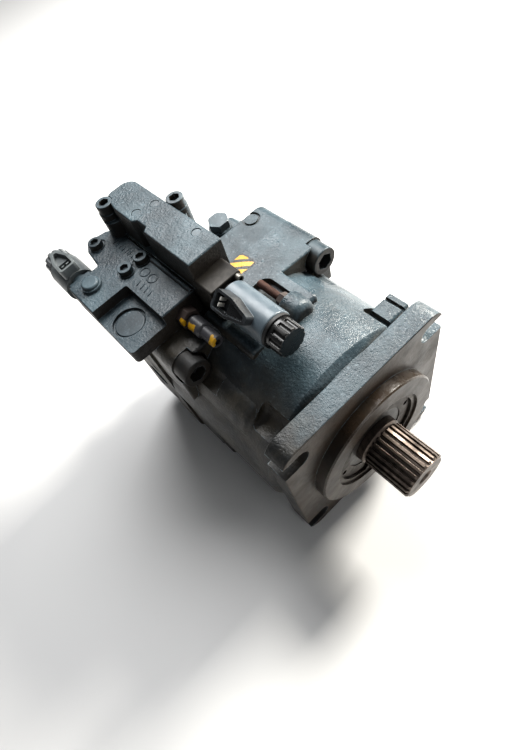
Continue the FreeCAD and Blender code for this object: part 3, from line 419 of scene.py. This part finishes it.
def bead(name, path, half_width, height, closed, look):
    """Half-round raised line cast on a level surface, along a path of (x, y, z) points."""
    arc = [(-1.0, -0.15), (-0.75, 0.62), (0.0, 1.0), (0.75, 0.62), (1.0, -0.15)]
    count = len(path)
    vertices = []
    for i, point in enumerate(path):
        before = Vector(path[i - 1] if i or closed else path[0])
        after = Vector(path[(i + 1) % count] if i + 1 < count or closed else path[-1])
        along = (after - before).normalized()
        across = Vector((-along.y, along.x, 0.0)).normalized()
        end = 0.55 if not closed and i in (0, count - 1) else 1.0
        for u, v in arc:
            vertices.append(Vector(point) + across * (u * half_width * end) + Vector((0, 0, v * height * end)))
    steps = count if closed else count - 1
    width = len(arc)
    faces = []
    for i in range(steps):
        a = i * width
        b = ((i + 1) % count) * width
        faces += [(a + k, a + k + 1, b + k + 1, b + k) for k in range(width - 1)]
        faces.append((a + width - 1, a, b, b + width - 1))
    if not closed:
        faces.append(tuple(range(width - 1, -1, -1)))
        faces.append(tuple(range((count - 1) * width, count * width)))
    mesh = bpy.data.meshes.new(name)
    mesh.from_pydata([tuple(v) for v in vertices], [], faces)
    mesh.validate()
    mesh.materials.append(look)
    for polygon in mesh.polygons:
        polygon.use_smooth = True
    piece = bpy.data.objects.new(name, mesh)
    bpy.context.scene.collection.objects.link(piece)
    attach(piece, "case")
    return piece


def circle(x, y, z, radius, count=28):
    turns = [2 * math.pi * i / count for i in range(count)]
    return [(x + radius * math.cos(t), y + radius * math.sin(t), z) for t in turns]


def line(x0, y0, x1, y1, z, count=4):
    shares = [i / (count - 1) for i in range(count)]
    return [(x0 + (x1 - x0) * t, y0 + (y1 - y0) * t, z) for t in shares]


def cast_marks():
    """Plain foundry marks that spell nothing: rings, bars and dashes on the slab's top."""
    look = looks["lower_control_block"]
    ring_x, bar_x, dash_x = SLAB_HIGH.x - 0.060, SLAB_HIGH.x - 0.0545, SLAB_HIGH.x - 0.125
    ring_y, bar_y, dash_y = SLAB_HIGH.y - 0.0176, SLAB_HIGH.y - 0.0269, SLAB_HIGH.y - 0.0099
    for i in range(2):
        ring = circle(ring_x + 0.0135 * i, ring_y, SLAB_TOP, 0.0052)
        bead("mark_ring_%d" % i, ring, 0.0008, 0.0009, True, look)
    for i in range(4):
        x = bar_x + 0.0068 * i
        bar = line(x, bar_y, x + 0.0022, bar_y - 0.007, SLAB_TOP)
        bead("mark_bar_%d" % i, bar, 0.0008, 0.0009, False, look)
    for i in range(7):
        x = dash_x + 0.0058 * i
        dash = line(x, dash_y, x + 0.0012, dash_y - 0.006, SLAB_TOP)
        bead("mark_dash_%d" % i, dash, 0.0007, 0.0008, False, look)


cast_marks()


# ---------------------------------------------------------------- floor, light, camera


AIM = Vector((-0.13, 0, 0.03))  # the lamps look at the middle of the pump


def studio():
    floor_level = min(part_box("housing")[0].z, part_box("port_plate")[0].z)
    bpy.ops.mesh.primitive_plane_add(size=8.0, location=(0, 0, floor_level))
    floor = bpy.context.object
    floor.name = "floor"
    net = Net("floor_grey")
    net.finish(net.mix(net.noise(3, 2), rgb(222, 222, 222), rgb(226, 226, 225)), 0.9)
    floor.data.materials.append(net.mat)
    world = bpy.data.worlds.new("sky")
    world.use_nodes = True
    sky = world.node_tree.nodes["Background"]
    sky.inputs["Color"].default_value = (0.93, 0.96, 1.0, 1.0)
    sky.inputs["Strength"].default_value = 0.11
    bpy.context.scene.world = world
    lamps = [
        ("sky", (-1.0, 0.6, 1.4), 1.0, 42.0),
        ("right", (-0.15, 1.35, 0.85), 0.35, 66.0),
        ("front", (1.3, 0.1, 0.7), 0.5, 3.0),
    ]
    warm, white = (1.0, 0.965, 0.89), (1.0, 1.0, 1.0)
    for name, spot, size, power in lamps:
        data = bpy.data.lights.new(name, "AREA")
        data.color = warm if name == "right" else white
        data.size = size
        data.energy = power
        lamp = bpy.data.objects.new(name, data)
        lamp.location = spot
        lamp.rotation_mode = "QUATERNION"
        lamp.rotation_quaternion = (AIM - Vector(spot)).to_track_quat("-Z", "Y")
        bpy.context.scene.collection.objects.link(lamp)


def camera():
    heading, dip, roll = (math.radians(angle) for angle in (157.985, 56.811, -23.843))
    level = math.cos(dip)
    ahead = Vector((level * math.cos(heading), level * math.sin(heading), -math.sin(dip)))
    data = bpy.data.cameras.new("camera")
    data.sensor_width = 36.0
    data.lens = 23.26
    data.clip_start = 0.01
    data.clip_end = 50.0
    eye = bpy.data.objects.new("camera", data)
    eye.rotation_mode = "QUATERNION"
    eye.rotation_quaternion = ahead.to_track_quat("-Z", "Y") @ Quaternion((0, 0, 1), roll)
    eye.location = (0.1369, -0.1413, 0.4535)
    bpy.context.scene.collection.objects.link(eye)
    bpy.context.scene.camera = eye


studio()
camera()

bpy.context.scene.view_settings.view_transform = "Standard"
